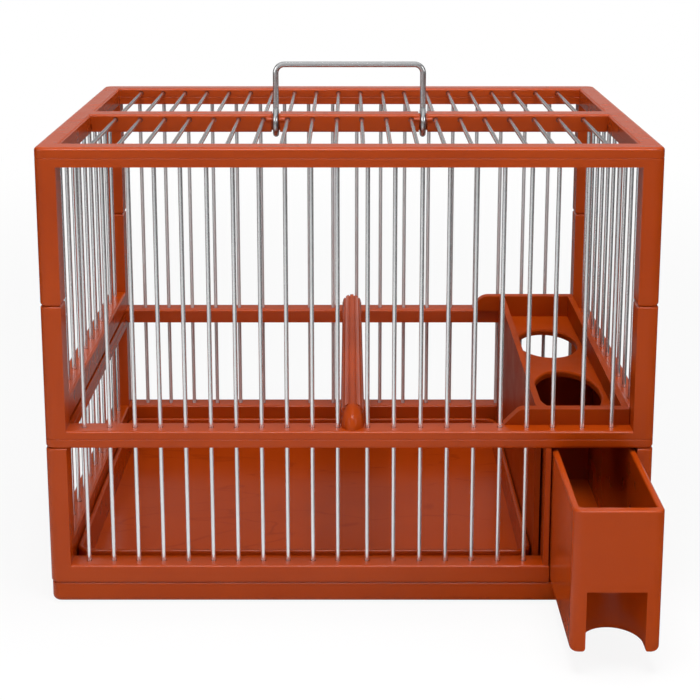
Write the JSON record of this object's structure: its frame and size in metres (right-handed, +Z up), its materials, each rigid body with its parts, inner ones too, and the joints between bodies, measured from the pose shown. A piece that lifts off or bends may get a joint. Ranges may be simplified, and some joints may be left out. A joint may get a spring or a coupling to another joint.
{
  "type": "songbird cage",
  "caption": "Small box-shaped bird cage of stacked glossy plastic frames and upright steel wires, with a fluted perch, a feeder tray, a pull-out feed drawer and a swinging wire handle.",
  "frame": {"origin": "centre of the base pan's underside, which rests on the table", "axes": "+Z up, -Y out of the front where the drawer comes out, +X to the right seen from the front"},
  "size_m": [0.25, 0.2695, 0.2155],
  "materials": {
    "pan_plastic": "glossy brick red moulding",
    "frame_plastic": "glossy brick red moulding",
    "perch_plastic": "glossy brick red moulding",
    "tray_plastic": "glossy brick red moulding",
    "drawer_plastic": "glossy brick red moulding",
    "wire_steel": "bright drawn wire",
    "handle_steel": "bright drawn wire"
  },
  "bodies": {
    "cage": {"base_pan": "pan_plastic", "lower_frame": "frame_plastic", "mid_ring": "frame_plastic", "middle_frame": "frame_plastic", "upper_frame": "frame_plastic", "top_frame": "frame_plastic", "front_wires": "wire_steel", "front_wires_over_drawer": "wire_steel", "back_wires": "wire_steel", "left_wires": "wire_steel", "right_wires": "wire_steel", "top_wires": "wire_steel", "perch": "perch_plastic", "partition": "tray_plastic", "feeder_tray": "tray_plastic"},
    "drawer": {"drawer": "drawer_plastic"},
    "handle": {"handle": "handle_steel"}
  },
  "joints": [
    {"name": "drawer_slide", "type": "slide", "parent": "cage", "child": "drawer", "axis": [0, -1, 0], "range_m": [-0.0665, 0.08]},
    {"name": "handle_swing", "type": "hinge", "parent": "cage", "child": "handle", "pos_m": [0, 0, 0.1883], "axis": [1, 0, 0], "range_deg": [-80, 80]}
  ]
}
